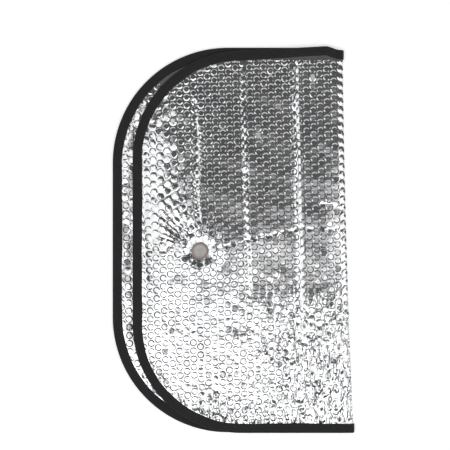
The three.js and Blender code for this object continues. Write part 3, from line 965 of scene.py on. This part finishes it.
def foil_finish():
    """Metallised film: bright, with facets round the upper cup and below, and columns by the fold."""
    finish = Finish("metallised film")
    place = finish.place()
    from_cup = finish.distance(place, tuple(UPPER_CUP + SHEET_SHIFT))
    across = finish.part(place, "X")
    along = finish.part(place, "Y")
    by_cup = finish.spread(from_cup, 0.02, 0.1, 1, 0.1)
    below = finish.spread(along, 0.01, -0.09, 0.1, 1)
    by_fold = finish.spread(across, -0.02, 0.06, 0, 1) * finish.spread(along, -0.04, -0.1, 0, 1)
    columns = finish.noise(finish.stretched(place, (1, 0.35, 1)), 230, 1, 0.5, 0.6)
    by_hem = finish.spread(along, -0.135, -0.16, 0, 0.8)
    strained = by_cup.math("MAXIMUM", below)
    creased = by_fold.math("MAXIMUM", by_hem)
    facets = finish.noise(place, 480, 2, 0.6, 0.8)
    waves = finish.noise(place, 210, 3, 0.55, 0.6)
    height = (facets * 0.4 + waves) * strained + columns * 13 * creased
    haze = finish.noise(place, 34, 4, 0.6)
    grain = finish.noise(place, 1500, 2, 0.5)
    tint = finish.mix(finish.spread(haze, 0.35, 0.7, 0, 1), (0.80, 0.81, 0.83), (0.90, 0.905, 0.91))
    finish.set(
        Base_Color=tint,
        Metallic=1.0,
        Roughness=finish.spread(haze, 0.3, 0.7, 0.09, 0.15) + grain * 0.04,
        Normal=finish.bump(height, 0.34 * MM, 0.9),
    )
    return finish.material


def tape_finish():
    """Black woven tape: plain weave, dull, painted darker in the weave's hollows and lighter on its high
    threads as shade, with random patches, dust on its high fibres and lint.
    """
    finish = Finish("black woven tape")
    layout = finish.layout("weave")
    thread_pitch = 0.55 * MM
    turns = 2 * math.pi / thread_pitch
    warp = (finish.part(layout, "X") * turns).math("SINE")
    weft = (finish.part(layout, "Y") * turns).math("SINE")
    weave = warp * weft
    place = finish.place()
    fuzz = finish.noise(place, 2600, 3, 0.6)
    patches = finish.noise(place, 90, 4, 0.6)
    height = weave * 0.5 + fuzz * 0.6
    # Painted shade: the colour is darker in the weave's hollows and lighter on its high threads, plus
    # random lighter patches.
    painted_weave_shade_and_patches = finish.spread(weave + patches * 1.4, -0.4, 1.6, 0, 1)
    colour = finish.mix(painted_weave_shade_and_patches, (0.008, 0.008, 0.009), (0.026, 0.026, 0.029))
    dusty = finish.mix(finish.spread(fuzz, 0.62, 0.8, 0, 0.35), colour, (0.09, 0.09, 0.094))
    finish.set(
        Base_Color=dusty,
        Roughness=finish.spread(fuzz, 0.3, 0.7, 0.72, 0.9),
        Normal=finish.bump(height, 0.12 * MM, 0.9),
        Sheen_Weight=0.12,
        Sheen_Roughness=0.4,
    )
    return finish.material


def thread_finish():
    """Black polyester thread with a faint twist and gloss."""
    finish = Finish("black sewing thread")
    place = finish.place()
    twist = finish.noise(place, 3200, 2, 0.5)
    colour = finish.mix(finish.spread(twist, 0.35, 0.7, 0, 1), (0.012, 0.012, 0.014), (0.05, 0.05, 0.055))
    finish.set(
        Base_Color=colour,
        Roughness=finish.spread(twist, 0.3, 0.7, 0.45, 0.6),
        Normal=finish.bump(twist, 0.05 * MM, 0.7),
    )
    return finish.material


def cup_finish(name, centre):
    """Clear soft plastic, milky inside, with a dark brown ring painted on its rim as shade of its
    refracted edge over the plastic's faint brown tint, and faint flow waves.
    """
    finish = Finish(name)
    place = finish.place()
    axis = (centre.x + SHEET_SHIFT.x, centre.y + SHEET_SHIFT.y, 0)
    radius = finish.distance(finish.stretched(place, (1, 1, 0)), axis)
    # Painted shade: a dark brown ring on the head's rim stands for its dark refracted edge, over the
    # plastic's own faint brown tint.
    rim = finish.spread(radius, DISH_RADIUS, HEAD_RADIUS - 1 * MM, 0, 1)
    flow = finish.noise(place, 240, 2, 0.5, 0.4)
    scuffs = finish.noise(place, 900, 3, 0.6)
    inside = finish.mix(finish.spread(flow, 0.35, 0.65, 0, 1), (0.88, 0.83, 0.81), (1.0, 0.98, 0.97))
    finish.set(
        Base_Color=finish.mix(rim, inside, (0.52, 0.42, 0.36)),
        Roughness=finish.spread(scuffs, 0.4, 0.7, 0.04, 0.12),
        Normal=finish.bump(flow, 0.1 * MM, 0.5),
        IOR=1.5,
        Transmission_Weight=0.4,
    )
    return finish.material


def floor_finish():
    """White paper that glows a little to whatever looks at it, and still takes the shadow."""
    finish = Finish("pale floor")
    cloud = finish.noise(finish.place(), 3, 2, 0.5)
    colour = finish.mix(finish.spread(cloud, 0.3, 0.7, 0, 1), (0.9, 0.9, 0.9), (0.91, 0.91, 0.91))
    seen = 0
    for ray in ("Is Camera Ray", "Is Glossy Ray", "Is Transmission Ray"):
        seen = finish.node("ShaderNodeLightPath", output=ray) + seen
    finish.set(
        Base_Color=colour,
        Roughness=0.9,
        Specular_IOR_Level=0.1,
        Emission_Color=finish.mix(finish.spread(seen, 0, 1, 0, 1), (0, 0, 0), (1, 1, 1)),
        Emission_Strength=FLOOR_GLOW,
    )
    return finish.material


# Studio


def add_softbox(name, place, target, width, height, strength):
    """A rectangular lamp that faces a target. Strength is how bright its face looks."""
    data = bpy.data.lights.new(name, "AREA")
    data.shape = "RECTANGLE"
    data.size = width
    data.size_y = height
    data.energy = strength * math.pi * width * height
    lamp = bpy.data.objects.new(name, data)
    lamp.location = place
    lamp.rotation_euler = (Vector(place) - Vector(target)).to_track_quat("Z", "Y").to_euler()
    bpy.context.scene.collection.objects.link(lamp)


def add_studio():
    add_softbox("south softbox", (0, -0.72, 1.45), (0, 0, 0), 2.0, 0.8, 1.1)
    add_softbox("west softbox", (-0.95, -0.1, 1.3), (0, 0, 0), 1.1, 1.4, 1.0)
    add_softbox("east softbox", (1.0, -0.25, 1.3), (0, 0, 0), 1.15, 1.2, 1.2)
    add_softbox("north softbox", (-0.2, 1.6, 0.7), (0, 0, 0), 5.0, 0.85, 0.58)
    world = bpy.data.worlds.new("studio")
    bpy.context.scene.world = world
    world.use_nodes = True
    sky = Nodes(world.node_tree)
    place = sky.node("ShaderNodeTexCoord", output="Generated")
    east = sky.part(place, "X")
    north = sky.part(place, "Y")
    height = sky.part(place, "Z")
    ceiling = sky.spread(north, 0.09, -0.16, 0, 0.75) * sky.spread(height, 0.8, 0.92, 0, 1)
    walls = sky.spread(height, 0.02, 0.1, 0.85, 0) * sky.spread(east, 0.5, 0.8, 1, 0)
    dimmest = 0.085
    level = ceiling + walls + dimmest
    sky.feed(world.node_tree.nodes["Background"].inputs["Strength"], level)
    sky.feed(world.node_tree.nodes["Background"].inputs["Color"], (1.0, 1.0, 1.0))


def add_floor():
    deselect_all()
    bpy.ops.mesh.primitive_plane_add(size=14, location=(0, 0, -0.15 * MM))
    floor = bpy.context.object
    floor.name = "studio_floor"
    bpy.ops.object.transform_apply(location=True, rotation=True, scale=True)
    floor.data.materials.append(floor_finish())


def add_camera():
    """Straight above, with the sheet's fold upright in the picture."""
    data = bpy.data.cameras.new("camera")
    data.lens = 85
    data.sensor_width = 36
    camera = bpy.data.objects.new("camera", data)
    picture_size = 450
    picture_scale = 0.943 * MM
    shade_column = 233.5
    shade_row = 239.5
    camera.location = (
        (picture_size / 2 - shade_column) * picture_scale,
        (shade_row - picture_size / 2) * picture_scale,
        picture_size * picture_scale * data.lens / data.sensor_width)
    bpy.context.scene.collection.objects.link(camera)
    bpy.context.scene.camera = camera


foil = make_foil()
tape = make_tape()
seam = make_seam()
upper_cup = make_cup("upper_clear_cup", UPPER_CUP, 1)
lower_cup = make_cup("lower_clear_cup", LOWER_CUP, -1)

foil.data.materials.append(foil_finish())
tape.data.materials.append(tape_finish())
seam.data.materials.append(thread_finish())
upper_cup.data.materials.append(cup_finish("clear soft plastic", UPPER_CUP))
lower_cup.data.materials.append(cup_finish("clear soft plastic below", LOWER_CUP))

for piece in (foil, tape, seam, upper_cup, lower_cup):
    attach(piece, "root")
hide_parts("foil_sheet")
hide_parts("edge_tape")
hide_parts("upper_suction_cup")
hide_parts("lower_suction_cup")

add_floor()
add_studio()
add_camera()
bpy.context.scene.view_settings.view_transform = "Standard"
